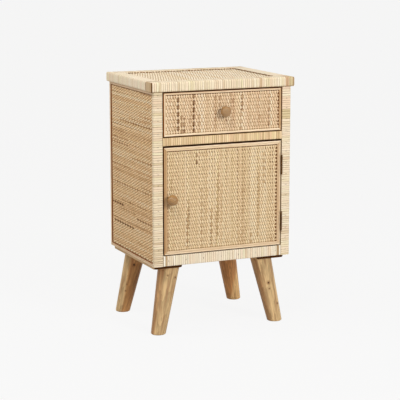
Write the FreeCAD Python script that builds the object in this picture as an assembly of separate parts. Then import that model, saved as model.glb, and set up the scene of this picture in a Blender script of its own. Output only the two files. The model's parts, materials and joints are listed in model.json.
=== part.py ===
import FreeCAD, Part
import os

V = FreeCAD.Vector

# Overall sizes, in millimetres. The front faces -Y and up is +Z. The origin lies on the
# floor under the middle of the whole table, knobs included.
total_height = 600.0
body_width = 354.0
body_depth = 282.0
body_bottom = 169.0

# Top: four wrapped rails round a woven sheet that lies a little below them on a board
top_thickness = 23.0
top_side_overhang = 5.5
top_front_overhang = 5.5
top_back_overhang = 5.5
top_rail_width = 34.0
top_ledge = 8.0
top_recess = 3.0
top_board_thickness = 8.0

# Front frame of wrapped stiles and rails, with openings for a drawer and a door
stile_width = 24.0
stile_lip = 8.0
frame_depth = 20.0
bottom_rail_height = 24.8
mid_rail_height = 19.5
drawer_opening_height = 105.5

# Carcass boards and posts
side_board_thickness = 4.0
back_board_thickness = 4.0
floor_thickness = 12.0
shelf_thickness = 9.0
post_size = 20.0

# Woven sheets, which bulge in a low rib over each stake, and the wooden beads that edge them
weave_thickness = 2.5
weave_relief = 0.8
stake_pitch = 8.3
bead_thickness = 3.5
side_top_bead = 6.0
side_bottom_bead = 8.0
side_rear_bead = 8.5
door_bead = 9.0
drawer_bead = 5.0

# Rounded corners of wrapped rails, beads, battens and feet
wrap_round = 4.0
wrap_inner_round = 2.0
bead_round = 1.0
batten_corner = 9.0
batten_round = 2.0
foot_round = 3.0

# Legs on two battens under the body, set back a little from its middle. Insets run from the edges
# of the top to a foot's centre, and a leg leans in by its lean from its foot to the batten.
leg_row_setback = 7.5
batten_width = 74.5
batten_thickness = 9.5
batten_side_inset = 6.5
batten_end_inset = 9.0
foot_side_inset = 28.2
foot_end_inset = 29.6
leg_side_lean = 33.3
leg_end_lean = 13.4
foot_diameter = 35.0
leg_top_diameter = 50.5
leg_bolt_diameter = 8.0
leg_bolt_depth = 35.0
tee_nut_diameter = 10.0
tee_flange_diameter = 20.0
tee_flange_thickness = 1.5
batten_screw_spread = 84.0
batten_screw_diameter = 4.0
batten_screw_head = 8.0
batten_screw_length = 17.0

# Drawer
drawer_gap = 2.5
drawer_board_thickness = 12.0
drawer_side_thickness = 12.0
drawer_back_thickness = 10.0
drawer_bottom_thickness = 4.0
drawer_bottom_groove = 5.0
drawer_bottom_rise = 6.0
drawer_side_inset = 2.0
drawer_side_foot = 4.0
drawer_side_head = 14.0
drawer_rear_space = 14.0
runner_height = 10.0
runner_reach = 6.0

# Door, which hangs a little low, and its butt hinges. A hinge's middle lies a share of the door's
# height from its end.
door_gap = 2.0
door_top_gap = 3.2
door_board_thickness = 14.0
hinge_height = 45.0
hinge_end_share = 0.23
hinge_knuckles = 5
hinge_barrel_diameter = 4.4
hinge_pin_diameter = 2.4
hinge_pin_head = 3.8
hinge_pin_head_height = 0.8
hinge_leaf_depth = 15.0
hinge_screw_pitch = 14.0
hinge_screws_per_leaf = 3

# Magnetic catch under the shelf
catch_width = 44.0
catch_body_width = 28.0
catch_height = 13.0
catch_depth = 16.0
catch_ear = 3.0
catch_edge_distance = 12.0
magnet_width = 20.0
magnet_height = 7.0
magnet_depth = 9.0
strike_width = 24.0
strike_height = 9.0
strike_thickness = 1.5

# Turned ball knobs and small screws
knob_diameter = 25.0
knob_projection = 26.0
knob_neck_diameter = 11.6
knob_base_diameter = 12.8
knob_screw_diameter = 4.0
knob_screw_head = 8.0
knob_screw_head_height = 2.4
knob_screw_depth = 12.0
drawer_knob_rise = 2.5
door_knob_rise = 5.2
door_knob_inset = 16.0
small_screw_diameter = 3.0
small_screw_head = 5.2
small_screw_length = 10.0

# Clearances
seat_gap = 0.1
screw_gap = 0.1
pin_gap = 0.05
runner_gap = 0.4
knuckle_gap = 0.3
leaf_gap = 0.2
catch_gap = 0.4

# Planes and lines that several pieces share
total_depth = knob_projection + body_depth + top_back_overhang
front_y = knob_projection - total_depth / 2
back_y = front_y + body_depth
side_x = body_width / 2
body_top = total_height - top_thickness
bottom_rail_top = body_bottom + bottom_rail_height
mid_rail_top = body_top - drawer_opening_height
mid_rail_bottom = mid_rail_top - mid_rail_height
opening_x = side_x - stile_width
frame_back = front_y + frame_depth
skin_back = front_y + bead_thickness
weave_front = skin_back - weave_thickness
side_board_out = side_x - bead_thickness
side_board_in = side_board_out - side_board_thickness
back_board_front = back_y - back_board_thickness
post_front = back_board_front - post_size
post_in = side_board_in - post_size
floor_top = body_bottom + floor_thickness
shelf_top = mid_rail_bottom + shelf_thickness

top_x = side_x + top_side_overhang
top_front = front_y - top_front_overhang
top_back = back_y + top_back_overhang
weave_top = total_height - top_recess
top_board_top = weave_top - weave_thickness
ledge_top = top_board_top - top_board_thickness

batten_bottom = body_bottom - batten_thickness
batten_out = side_x - batten_side_inset
batten_in = batten_out - batten_width
foot_x = top_x - foot_side_inset
leg_x = foot_x - leg_side_lean
leg_row_middle = (front_y + back_y) / 2 + leg_row_setback
foot_y = (top_back - top_front) / 2 - foot_end_inset
leg_y = foot_y - leg_end_lean

drawer_x = opening_x - drawer_gap
drawer_low = mid_rail_top + drawer_gap
drawer_high = body_top - drawer_gap
drawer_board_back = skin_back + drawer_board_thickness
drawer_side_out = drawer_x - drawer_side_inset
drawer_side_in = drawer_side_out - drawer_side_thickness
drawer_side_low = drawer_low + drawer_side_foot
drawer_side_high = drawer_high - drawer_side_head
drawer_end = back_board_front - drawer_rear_space
drawer_bottom_low = drawer_side_low + drawer_bottom_rise
runner_low = (drawer_side_low + drawer_side_high - runner_height) / 2

door_x = opening_x - door_gap
door_low = bottom_rail_top + door_gap
door_high = mid_rail_bottom - door_top_gap
door_back = skin_back + door_board_thickness
barrel_radius = hinge_barrel_diameter / 2
pin_x = opening_x - door_gap / 2
pin_y = front_y - barrel_radius - knuckle_gap
leaf_thickness = (door_gap - leaf_gap) / 2
hinge_end_distance = hinge_end_share * (door_high - door_low)
hinge_middles = {"upper": door_high - hinge_end_distance, "lower": door_low + hinge_end_distance}

catch_x = catch_edge_distance + catch_width / 2 - door_x
catch_front = door_back + strike_thickness + catch_gap
catch_middle = door_high - (door_high - mid_rail_bottom + catch_height) / 2

drawer_knob = (0.0, (drawer_low + drawer_high) / 2 + drawer_knob_rise)
door_knob = (door_knob_inset - door_x, (door_low + door_high) / 2 + door_knob_rise)

tiny = 1e-4
parts = {}


def box(x_range, y_range, z_range):
    low, high = V(x_range[0], y_range[0], z_range[0]), V(x_range[1], y_range[1], z_range[1])
    size = high - low
    return Part.makeBox(size.x, size.y, size.z, low)


def mirrored(shape):
    """The same piece on the other side of the table."""
    return shape.mirror(V(0, 0, 0), V(1, 0, 0))


def edges_along(shape, axis, **place):
    """Straight edges of a shape along x, y or z that lie at the given places."""
    found = []
    for edge in shape.Edges:
        span = edge.BoundBox
        low = {"x": span.XMin, "y": span.YMin, "z": span.ZMin}
        high = {"x": span.XMax, "y": span.YMax, "z": span.ZMax}
        along = [name for name in "xyz" if high[name] - low[name] > tiny]
        if along == [axis] and all(abs(low[name] - at) < tiny for name, at in place.items()):
            found.append(edge)
    return found


def turned(profile, at, direction):
    """A solid of revolution. The profile is edges in (radius, distance along the axis)."""
    solid = Part.Face(Part.Wire(profile)).revolve(V(0, 0, 0), V(0, 0, 1), 360)
    solid.Placement = FreeCAD.Placement(at, FreeCAD.Rotation(V(0, 0, 1), direction))
    return solid


def outline(points):
    """Straight edges through points in (radius, distance along the axis), closed."""
    corners = [V(radius, 0, along) for radius, along in points]
    return [Part.LineSegment(a, b).toShape() for a, b in zip(corners, corners[1:] + corners[:1])]


def rod(at, direction, diameter, length):
    return Part.makeCylinder(diameter / 2, length, at, direction)


def countersunk_screw(at, direction, diameter, head, head_height, length, gap=0.0):
    """A screw whose flat head lies at a point, or its hole when a gap is given."""
    head_radius, radius = head / 2 + gap, diameter / 2 + gap
    points = [(0, 0), (head_radius, 0), (radius, head_height), (radius, length + gap), (0, length + gap)]
    return turned(outline(points), at, direction)


def small_screw(at, direction, gap=0.0):
    """Hinge and catch screw with a head as deep as a hinge leaf."""
    return countersunk_screw(at, direction, small_screw_diameter, small_screw_head, leaf_thickness,
                             small_screw_length, gap)


def group(shapes):
    return Part.makeCompound(shapes)


def drilled(shape, holes):
    return shape.cut(group(holes)) if holes else shape


def one_solid(shape):
    """A cut or fused shape with its leftover seams removed, as a plain solid."""
    clean = shape.removeSplitter()
    return clean.Solids[0] if len(clean.Solids) == 1 else clean


def woven_sheet(width, run):
    """A flat sheet with its stakes along X. It bulges in a low round rib over each of them."""
    count = max(1, round(run / stake_pitch))
    step = run / count
    valley = weave_thickness - weave_relief
    starts = [V(0, index * step, valley) for index in range(count + 1)]
    crests = [V(0, (index + 0.5) * step, weave_thickness) for index in range(count)]
    edges = [Part.Arc(*points).toShape() for points in zip(starts, crests, starts[1:])]
    back = [starts[-1], V(0, run, 0), V(0, 0, 0), starts[0]]
    edges += [Part.LineSegment(a, b).toShape() for a, b in zip(back, back[1:])]
    return Part.Face(Part.Wire(edges)).extrude(V(width, 0, 0))


def laid(sheet, corner, axis=V(0, 0, 1), angle=0.0):
    """A sheet turned about an axis, with its first corner at a point."""
    sheet.Placement = FreeCAD.Placement(corner, FreeCAD.Rotation(axis, angle))
    return sheet


def make_top():
    """Long rails run the full width, short rails butt between them, and all carry a ledge."""
    ledge_z = (body_top, ledge_top)

    def long_rail(outer, inward):
        inner = outer + inward * top_rail_width
        rail = box((-top_x, top_x), sorted((outer, inner)), (body_top, total_height))
        rim = []
        for z in (body_top, total_height):
            rim += edges_along(rail, "x", y=outer, z=z)
            rim += edges_along(rail, "y", x=-top_x, z=z) + edges_along(rail, "y", x=top_x, z=z)
        rim += edges_along(rail, "z", y=outer)
        rail = rail.makeFillet(wrap_round, rim)
        rail = rail.makeFillet(wrap_inner_round, edges_along(rail, "x", y=inner, z=total_height))
        side_rail_in = top_x - top_rail_width
        ledge = box((-side_rail_in, side_rail_in), sorted((inner, inner + inward * top_ledge)), ledge_z)
        return one_solid(rail.fuse(ledge))

    parts["top_front_rail"] = long_rail(top_front, 1)
    parts["top_back_rail"] = long_rail(top_back, -1)

    inner_x = top_x - top_rail_width
    y_range = (top_front + top_rail_width, top_back - top_rail_width)
    rail = box((inner_x, top_x), y_range, (body_top, total_height))
    rim = edges_along(rail, "y", x=top_x)
    rail = rail.makeFillet(wrap_round, rim)
    rail = rail.makeFillet(wrap_inner_round, edges_along(rail, "y", x=inner_x, z=total_height))
    ledge = box((inner_x - top_ledge, inner_x), (y_range[0] + top_ledge, y_range[1] - top_ledge), ledge_z)
    rail = one_solid(rail.fuse(ledge))
    parts["top_right_rail"] = rail
    parts["top_left_rail"] = mirrored(rail)

    sheet_x = (seat_gap - inner_x, inner_x - seat_gap)
    sheet_y = (y_range[0] + seat_gap, y_range[1] - seat_gap)
    parts["top_board"] = box(sheet_x, sheet_y, (ledge_top, top_board_top))
    sheet = woven_sheet(sheet_x[1] - sheet_x[0], sheet_y[1] - sheet_y[0])
    parts["top_woven_panel"] = laid(sheet, V(sheet_x[0], sheet_y[0], top_board_top))


def make_front_frame(stile_holes):
    """Stiles with a rebate for the side boards, and two rails between them."""
    lip = box((opening_x, side_x), (front_y, front_y + stile_lip), (body_bottom, body_top))
    web = box((opening_x, side_board_in), (front_y, frame_back), (body_bottom, body_top))
    stile = one_solid(lip.fuse(web))
    stile = stile.makeFillet(wrap_round, edges_along(stile, "z", x=side_x, y=front_y))
    stile = stile.makeFillet(wrap_inner_round, edges_along(stile, "z", x=opening_x, y=front_y))
    parts["front_left_stile"] = mirrored(stile)
    parts["front_right_stile"] = drilled(stile, stile_holes)

    for name, low, high in (("mid_rail", mid_rail_bottom, mid_rail_top),
                            ("bottom_rail", body_bottom, bottom_rail_top)):
        rail = box((-opening_x, opening_x), (front_y, frame_back), (low, high))
        parts[name] = rail.makeFillet(wrap_inner_round, edges_along(rail, "x", y=front_y))


def make_side(prefix, place):
    """Board, woven sheet and beads of one side, and the post in its rear corner."""
    board_y = (front_y + stile_lip, back_y)
    board = box((side_board_in, side_board_out), board_y, (body_bottom, body_top))
    bead_x = (side_board_out, side_x)
    rear = box(bead_x, (back_y - side_rear_bead, back_y), (body_bottom, body_top))
    long_y = (front_y + stile_lip, back_y - side_rear_bead)
    upper = box(bead_x, long_y, (body_top - side_top_bead, body_top))
    lower = box(bead_x, long_y, (body_bottom, body_bottom + side_bottom_bead))
    beads = [rear.makeFillet(bead_round, edges_along(rear, "z", x=side_x))]
    for bead in (upper, lower):
        beads.append(bead.makeFillet(bead_round, edges_along(bead, "y", x=side_x)))
    weave_z = (body_bottom + side_bottom_bead, body_top - side_top_bead)
    weave = woven_sheet(weave_z[1] - weave_z[0], long_y[1] - long_y[0])
    weave = laid(weave, V(side_board_out, long_y[0], weave_z[1]), V(0, 1, 0), 90)
    post = box((post_in, side_board_in), (post_front, back_board_front), (body_bottom, body_top))
    parts[prefix + "_side_board"] = place(board)
    parts[prefix + "_woven_panel"] = place(weave)
    parts[prefix + "_side_beads"] = place(group(beads))
    parts["rear_" + prefix + "_post"] = place(post)


def make_carcass(floor_holes, shelf_holes):
    """Back, floor and shelf. The floor and shelf are notched round the rear posts."""
    parts["back_board"] = box((seat_gap - side_board_in, side_board_in - seat_gap),
                              (back_board_front, back_y), (body_bottom, body_top))
    inside_x = (-side_board_in, side_board_in)
    inside_y = (frame_back, back_board_front)
    for name, low, high, holes in (("floor_board", body_bottom, floor_top, floor_holes),
                                   ("divider_shelf", mid_rail_bottom, shelf_top, shelf_holes)):
        notch = box((post_in, side_board_in), (post_front, back_board_front), (low, high))
        board = box(inside_x, inside_y, (low, high)).cut(group([notch, mirrored(notch)]))
        parts[name] = one_solid(drilled(board, holes))

    runner = box((drawer_side_out - runner_reach, side_board_in), (frame_back, post_front),
                 (runner_low, runner_low + runner_height))
    parts["right_drawer_runner"] = runner
    parts["left_drawer_runner"] = mirrored(runner)


def make_leg(side, end):
    """A splayed, tapered leg, cut level at the floor and at the batten."""
    foot = V(side * foot_x, leg_row_middle + end * foot_y, 0)
    head = V(side * leg_x, leg_row_middle + end * leg_y, batten_bottom)
    axis = head - foot
    spare = leg_top_diameter / axis.Length
    taper = (leg_top_diameter - foot_diameter) / 2
    low_radius = foot_diameter / 2 - spare * taper
    high_radius = leg_top_diameter / 2 + spare * taper
    cone = Part.makeCone(low_radius, high_radius, axis.Length * (1 + 2 * spare), foot - axis * spare, axis)
    reach = axis.Length + leg_top_diameter
    level = Part.makeBox(2 * reach, 2 * reach, batten_bottom, V(foot.x - reach, foot.y - reach, 0))
    leg = cone.common(level).Solids[0]
    leg = leg.makeFillet(foot_round, [edge for edge in leg.Edges if edge.BoundBox.ZMax < tiny])
    bolt_hole = rod(V(head.x, head.y, batten_bottom - leg_bolt_depth - screw_gap), V(0, 0, 1),
                    leg_bolt_diameter + 2 * screw_gap, leg_bolt_depth + screw_gap)
    return leg.cut(bolt_hole), head


def make_legs():
    """Legs, battens, the bolts and tee nuts that hold them, and the batten screws."""
    up = V(0, 0, 1)
    bolts, nuts, screws, bolt_holes, nut_holes, screw_holes = [], [], [], [], [], []
    bolt_top = floor_top + tee_flange_thickness
    for side, side_name in ((-1, "left"), (1, "right")):
        for end, end_name in ((-1, "front"), (1, "rear")):
            leg, head = make_leg(side, end)
            parts[end_name + "_" + side_name + "_leg"] = leg
            bolt_foot = V(head.x, head.y, batten_bottom - leg_bolt_depth)
            bolt_length = bolt_top - bolt_foot.z
            bolts.append(rod(bolt_foot, up, leg_bolt_diameter, bolt_length))
            bolt_hole = rod(bolt_foot, up, leg_bolt_diameter + 2 * screw_gap, bolt_length)
            bolt_holes.append(bolt_hole)
            barrel = rod(V(head.x, head.y, body_bottom), up, tee_nut_diameter, floor_thickness)
            flange = rod(V(head.x, head.y, floor_top), up, tee_flange_diameter, tee_flange_thickness)
            nuts.append(one_solid(barrel.fuse(flange).cut(bolt_hole)))
            nut_holes.append(rod(V(head.x, head.y, body_bottom), up, tee_nut_diameter + 2 * screw_gap,
                                 floor_thickness))
            screw_y = leg_row_middle + end * batten_screw_spread / 2
            screw_at = V(side * (batten_in + batten_out) / 2, screw_y, batten_bottom)
            head_height = (batten_screw_head - batten_screw_diameter) / 2
            screw_sizes = (batten_screw_diameter, batten_screw_head, head_height, batten_screw_length)
            screws.append(countersunk_screw(screw_at, up, *screw_sizes))
            screw_holes.append(countersunk_screw(screw_at, up, *screw_sizes, gap=screw_gap))

    batten_y = (leg_row_setback + front_y + batten_end_inset, leg_row_setback + back_y - batten_end_inset)
    batten = box((batten_in, batten_out), batten_y, (batten_bottom, body_bottom))
    batten = batten.makeFillet(batten_corner, edges_along(batten, "z"))
    lower_rim = [edge for edge in batten.Edges if edge.BoundBox.ZMax < batten_bottom + tiny]
    batten = batten.makeFillet(batten_round, lower_rim)
    parts["left_leg_batten"] = drilled(mirrored(batten), bolt_holes + screw_holes)
    parts["right_leg_batten"] = drilled(batten, bolt_holes + screw_holes)
    parts["leg_bolts"] = group(bolts)
    parts["leg_tee_nuts"] = group(nuts)
    parts["batten_screws"] = group(screws)
    return nut_holes + screw_holes


def hinge_leaf(low, knuckles, x_range):
    """A leaf rolled round the pin at its own knuckles and clear of the other leaf's."""
    z_range = (low, low + hinge_height)
    leaf = box(x_range, (pin_y, front_y + hinge_leaf_depth), z_range)
    barrel_foot = V(pin_x, pin_y, low)
    up = V(0, 0, 1)
    leaf = leaf.cut(rod(barrel_foot, up, hinge_barrel_diameter + 2 * knuckle_gap, hinge_height))
    pitch = hinge_height / hinge_knuckles
    for index in knuckles:
        start = low + index * pitch + (knuckle_gap / 2 if index > 0 else 0)
        stop = low + (index + 1) * pitch - (knuckle_gap / 2 if index < hinge_knuckles - 1 else 0)
        knuckle = rod(V(pin_x, pin_y, start), up, hinge_barrel_diameter, stop - start)
        bridge = box(x_range, (pin_y, pin_y + barrel_radius + 2 * knuckle_gap), (start, stop))
        leaf = leaf.fuse(group([knuckle, bridge]))
    return one_solid(leaf.cut(rod(barrel_foot, up, hinge_pin_diameter + 2 * pin_gap, hinge_height)))


def make_hinges():
    """Two butt hinges with their pins, and the screws and holes that go with them."""
    frame_screws, door_screws, frame_holes, door_holes = [], [], [], []
    frame_x = (opening_x - leaf_thickness, opening_x)
    door_leaf_x = (door_x, door_x + leaf_thickness)
    screw_y = (front_y + hinge_leaf_depth + skin_back) / 2
    pins = []
    for name, middle in hinge_middles.items():
        low = middle - hinge_height / 2
        for step in range(hinge_screws_per_leaf):
            z = middle + (step - (hinge_screws_per_leaf - 1) / 2) * hinge_screw_pitch
            for x, turn, screws, holes in ((frame_x[0], 1, frame_screws, frame_holes),
                                           (door_leaf_x[1], -1, door_screws, door_holes)):
                screws.append(small_screw(V(x, screw_y, z), V(turn, 0, 0)))
                holes.append(small_screw(V(x, screw_y, z), V(turn, 0, 0), screw_gap))
        frame_leaf = hinge_leaf(low, range(0, hinge_knuckles, 2), frame_x)
        door_leaf = hinge_leaf(low, range(1, hinge_knuckles, 2), door_leaf_x)
        parts[name + "_hinge_frame_leaf"] = one_solid(drilled(frame_leaf, frame_holes))
        parts[name + "_hinge_door_leaf"] = one_solid(drilled(door_leaf, door_holes))
        pin_low = V(pin_x, pin_y, low - hinge_pin_head_height)
        pin = rod(pin_low, V(0, 0, 1), hinge_pin_diameter, hinge_height + 2 * hinge_pin_head_height)
        heads = [rod(pin_low, V(0, 0, 1), hinge_pin_head, hinge_pin_head_height),
                 rod(V(pin_x, pin_y, low + hinge_height), V(0, 0, 1), hinge_pin_head,
                     hinge_pin_head_height)]
        pins.append(one_solid(pin.fuse(heads)))
    parts["hinge_pins"] = group(pins)
    return frame_screws, door_screws, frame_holes, door_holes


def make_catch():
    """A magnet in an eared housing under the shelf, and the strike plate on the door."""
    y_range = (catch_front, catch_front + catch_depth)
    body_x = (catch_x - catch_body_width / 2, catch_x + catch_body_width / 2)
    body = box(body_x, y_range, (mid_rail_bottom - catch_height, mid_rail_bottom))
    ears = box((catch_x - catch_width / 2, catch_x + catch_width / 2), y_range,
               (mid_rail_bottom - catch_ear, mid_rail_bottom))
    magnet_x = (catch_x - magnet_width / 2, catch_x + magnet_width / 2)
    magnet_z = (catch_middle - magnet_height / 2, catch_middle + magnet_height / 2)
    pocket = box((magnet_x[0] - seat_gap, magnet_x[1] + seat_gap),
                 (catch_front, catch_front + magnet_depth + seat_gap),
                 (magnet_z[0] - seat_gap, magnet_z[1] + seat_gap))
    parts["catch_magnet"] = box(magnet_x, (catch_front, catch_front + magnet_depth), magnet_z)

    screws, holes = [], []
    ear_middle = (catch_width + catch_body_width) / 4
    for side in (-1, 1):
        at = V(catch_x + side * ear_middle, sum(y_range) / 2, mid_rail_bottom - catch_ear)
        screws.append(small_screw(at, V(0, 0, 1)))
        holes.append(small_screw(at, V(0, 0, 1), screw_gap))
    parts["catch_housing"] = one_solid(drilled(body.fuse(ears).cut(pocket), holes))

    strike = box((catch_x - strike_width / 2, catch_x + strike_width / 2),
                 (door_back, door_back + strike_thickness),
                 (catch_middle - strike_height / 2, catch_middle + strike_height / 2))
    strike_at = V(catch_x, door_back + strike_thickness, catch_middle)
    strike_screw = small_screw(strike_at, V(0, -1, 0))
    strike_hole = small_screw(strike_at, V(0, -1, 0), screw_gap)
    parts["catch_strike"] = strike.cut(strike_hole)
    return screws, holes, strike_screw, strike_hole


def bead_frame(x, low, high, width):
    """Four mitred beads round a front, each with its face edges eased."""
    corners = [V(-x, front_y, low), V(x, front_y, low), V(x, front_y, high), V(-x, front_y, high)]
    inward = [V(1, 0, 1), V(-1, 0, 1), V(-1, 0, -1), V(1, 0, -1)]
    beads = []
    for index in range(len(corners)):
        after = (index + 1) % len(corners)
        points = [corners[index], corners[after], corners[after] + inward[after] * width,
                  corners[index] + inward[index] * width]
        face = Part.Face(Part.makePolygon(points + points[:1]))
        bead = face.extrude(V(0, bead_thickness, 0))
        axis = "x" if abs(corners[after].x - corners[index].x) > tiny else "z"
        beads.append(bead.makeFillet(bead_round, edges_along(bead, axis, y=front_y)))
    return group(beads)


def make_knob(name, place, board_back):
    """A turned ball knob on the woven face, held by a screw from behind the board."""
    x, z = place
    length = weave_front - front_y + knob_projection
    ball, neck, base = knob_diameter / 2, knob_neck_diameter / 2, knob_base_diameter / 2
    middle = length - ball
    neck_end = middle - (ball ** 2 - neck ** 2) ** 0.5
    edges = [Part.LineSegment(V(0, 0, 0), V(base, 0, 0)).toShape(),
             Part.LineSegment(V(base, 0, 0), V(neck, 0, neck_end)).toShape(),
             Part.Arc(V(neck, 0, neck_end), V(ball, 0, middle), V(0, 0, length)).toShape(),
             Part.LineSegment(V(0, 0, length), V(0, 0, 0)).toShape()]
    knob = turned(edges, V(x, weave_front, z), V(0, -1, 0))
    screw_at = V(x, board_back + knob_screw_head_height, z)
    shank_length = board_back + knob_screw_head_height - weave_front + knob_screw_depth
    shank = rod(screw_at, V(0, -1, 0), knob_screw_diameter, shank_length)
    head = rod(screw_at, V(0, -1, 0), knob_screw_head, knob_screw_head_height)
    hole = rod(screw_at, V(0, -1, 0), knob_screw_diameter + 2 * screw_gap, shank_length + screw_gap)
    parts[name + "_knob"] = knob.cut(hole)
    parts[name + "_knob_screw"] = one_solid(shank.fuse(head))
    return hole


def make_fronted(name, x, low, high, bead, board_back, knob, holes=()):
    """Board, woven sheet, bead frame and knob of the drawer front or the door."""
    knob_hole = make_knob(name, knob, board_back)
    board = box((-x, x), (skin_back, board_back), (low, high)).cut(knob_hole)
    weave = woven_sheet(2 * (x - bead), high - low - 2 * bead)
    weave = laid(weave, V(bead - x, skin_back, low + bead), V(1, 0, 0), 90)
    parts[name + "_woven_panel"] = weave.cut(knob_hole)
    parts[name + "_beads"] = bead_frame(x, low, high, bead)
    return drilled(board, list(holes))


def make_drawer():
    """Drawer front with a box behind it, hung by grooved sides on the runners."""
    groove_z = (drawer_bottom_low - seat_gap, drawer_bottom_low + drawer_bottom_thickness + seat_gap)
    groove_x = drawer_side_in + drawer_bottom_groove
    groove_front = drawer_board_back - drawer_bottom_groove
    front = make_fronted("drawer", drawer_x, drawer_low, drawer_high, drawer_bead, drawer_board_back,
                         drawer_knob)
    bottom_groove = box((-groove_x, groove_x), (groove_front, drawer_end), groove_z)
    parts["drawer_front_board"] = front.cut(bottom_groove)

    side_y = (drawer_board_back, drawer_end)
    side = box((drawer_side_in, drawer_side_out), side_y, (drawer_side_low, drawer_side_high))
    runner_groove = box((drawer_side_out - runner_reach - runner_gap, drawer_side_out), side_y,
                        (runner_low - runner_gap, runner_low + runner_height + runner_gap))
    side = side.cut(group([bottom_groove, runner_groove]))
    parts["drawer_right_side"] = one_solid(side)
    parts["drawer_left_side"] = mirrored(one_solid(side))
    parts["drawer_back"] = box((-drawer_side_in, drawer_side_in),
                               (drawer_end - drawer_back_thickness, drawer_end),
                               (drawer_bottom_low + drawer_bottom_thickness, drawer_side_high))
    parts["drawer_bottom"] = box((seat_gap - groove_x, groove_x - seat_gap),
                                 (groove_front + seat_gap, drawer_end),
                                 (drawer_bottom_low, drawer_bottom_low + drawer_bottom_thickness))


make_top()
frame_screws, door_screws, frame_holes, door_holes = make_hinges()
catch_screws, catch_holes, strike_screw, strike_hole = make_catch()
parts["cabinet_screws"] = group(frame_screws + catch_screws)
parts["door_screws"] = group(door_screws + [strike_screw])
make_front_frame(frame_holes)
make_side("right", lambda shape: shape)
make_side("left", mirrored)
make_carcass(make_legs(), catch_holes)
make_drawer()
parts["door_board"] = make_fronted("door", door_x, door_low, door_high, door_bead, door_back, door_knob,
                                   door_holes + [strike_hole])

os.makedirs("parts", exist_ok=True)
for name, shape in parts.items():
    shape.exportStep(os.path.join("parts", name + ".step"))
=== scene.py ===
import contextlib
import json
from math import ceil, cos, inf, pi, radians, sin, tanh
import random

import bmesh
import bpy
from mathutils import Matrix, Vector


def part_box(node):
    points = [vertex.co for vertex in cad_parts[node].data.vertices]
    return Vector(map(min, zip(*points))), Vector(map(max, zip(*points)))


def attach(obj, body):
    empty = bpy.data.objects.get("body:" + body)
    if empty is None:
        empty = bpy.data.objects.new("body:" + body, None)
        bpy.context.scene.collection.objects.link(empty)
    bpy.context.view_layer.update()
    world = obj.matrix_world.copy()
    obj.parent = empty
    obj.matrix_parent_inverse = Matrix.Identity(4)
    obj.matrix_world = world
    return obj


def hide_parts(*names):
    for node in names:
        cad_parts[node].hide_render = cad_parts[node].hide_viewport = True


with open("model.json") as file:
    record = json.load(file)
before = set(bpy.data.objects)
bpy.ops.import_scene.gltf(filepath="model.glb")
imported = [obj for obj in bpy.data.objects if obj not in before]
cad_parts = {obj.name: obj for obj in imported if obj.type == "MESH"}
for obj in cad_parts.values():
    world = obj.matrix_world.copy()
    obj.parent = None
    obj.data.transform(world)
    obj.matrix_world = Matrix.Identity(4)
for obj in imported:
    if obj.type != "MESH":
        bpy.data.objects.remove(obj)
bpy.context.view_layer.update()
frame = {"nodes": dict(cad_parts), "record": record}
nodes = frame["nodes"]

mm = 0.001
tiny = 1e-6
X, Y, Z = 0, 1, 2
middle_hue = 0.5

# Peel strips wound round the rails and stiles, over a core painted dark as the shade that shows as lines
# between them
strip_pitch = 5.2 * mm
strip_gap = 0.16 * mm
strip_gap_factors = (0.5, 1, 1, 1, 2.5)
strip_edge = 0.6 * mm
strip_edge_steps = 2
strip_looseness = 0.22
strip_sink = (0.002, 0.01)
strip_slant = radians(0.5)
slant_sink = 0.3
strip_tone_spread = 0.07
strip_hue_spread = 0.13
spot_tone_scatter = 0.04
core_inset = 1.3 * mm
# Sides of a strip that look into a gap carry painted shade, from the front back to gap_depth
gap_side = 1.1 * mm
gap_depth = 1.4 * mm
outer_round = 4 * mm
inner_round = 2 * mm
round_steps = 3
seam_thickness = 1.6 * mm
seam_width = 4.5 * mm
seam_tone = 0.03
# The unseamed ends' pale end_tone is painted light, lifting end strips that face away from the lamps
end_pitch = 9 * mm
end_tone = 0.5
seamed_end_tone = 0.2
ledge_width = 8 * mm

# Odd turns of peel: start and stop in the frame, or from the ends of the bottom rail, and tone and hue.
# The left rail's is the turn at its front corner, so it has only a tone and a hue.
front_rail_spots = ((158 * mm, 162 * mm, 0.2, 1.0), (162 * mm, 166 * mm, 0.42, 0.95),
                    (166 * mm, 170 * mm, 0.24, 1.0), (170 * mm, inf, 0.28, 0.1))
right_stile_spots = ((523 * mm, 548 * mm, 0.5, 0.85), (501 * mm, 523 * mm, 0.3, 0.1))
bottom_rail_ends = ((0, 5.2 * mm, 0.95, middle_hue), (5.2 * mm, 8 * mm, 0.1, middle_hue))
left_rail_front = (0.06, 0.7)

# Weave: strands that pass over one stake and under the next
stake_pitch = 8.3 * mm
strand_thickness = 0.8 * mm
strand_round = 0.4 * mm
strand_steps = 8
strand_weld = 0.01 * mm
strand_fill = 0.93
strand_looseness = 0.12
strand_tilt = radians(0.1)
strand_slip = 0.35 * mm
strand_leans = (0.4, 1.3)
strand_tone = 0.55
darkest_strand = 0.15
strand_drift = 0.5
pale_rise = 0.12
pale_run = 50 * mm
strand_hue_spread = 0.07
brown_share = 0.1
brown_tones = (0.22, 0.32)
brown_starts = (-0.3, 0.7)
brown_lengths = (0.3, 0.8)
stake_thickness = 0.7 * mm
stake_width = 3.4 * mm
stake_round = 0.25 * mm
stake_tone = 0.4
# stake_dip gives the stakes a share of painted shade
stake_dip = 0.25
swing = (strand_thickness + stake_thickness) / 2
crest = 1.3
opening_shares = (0.5, 0.3, 0.12)
# A thin sheet behind each weave, painted dark as the shade between the strands
shade_sheet_thickness = 0.1 * mm

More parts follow.
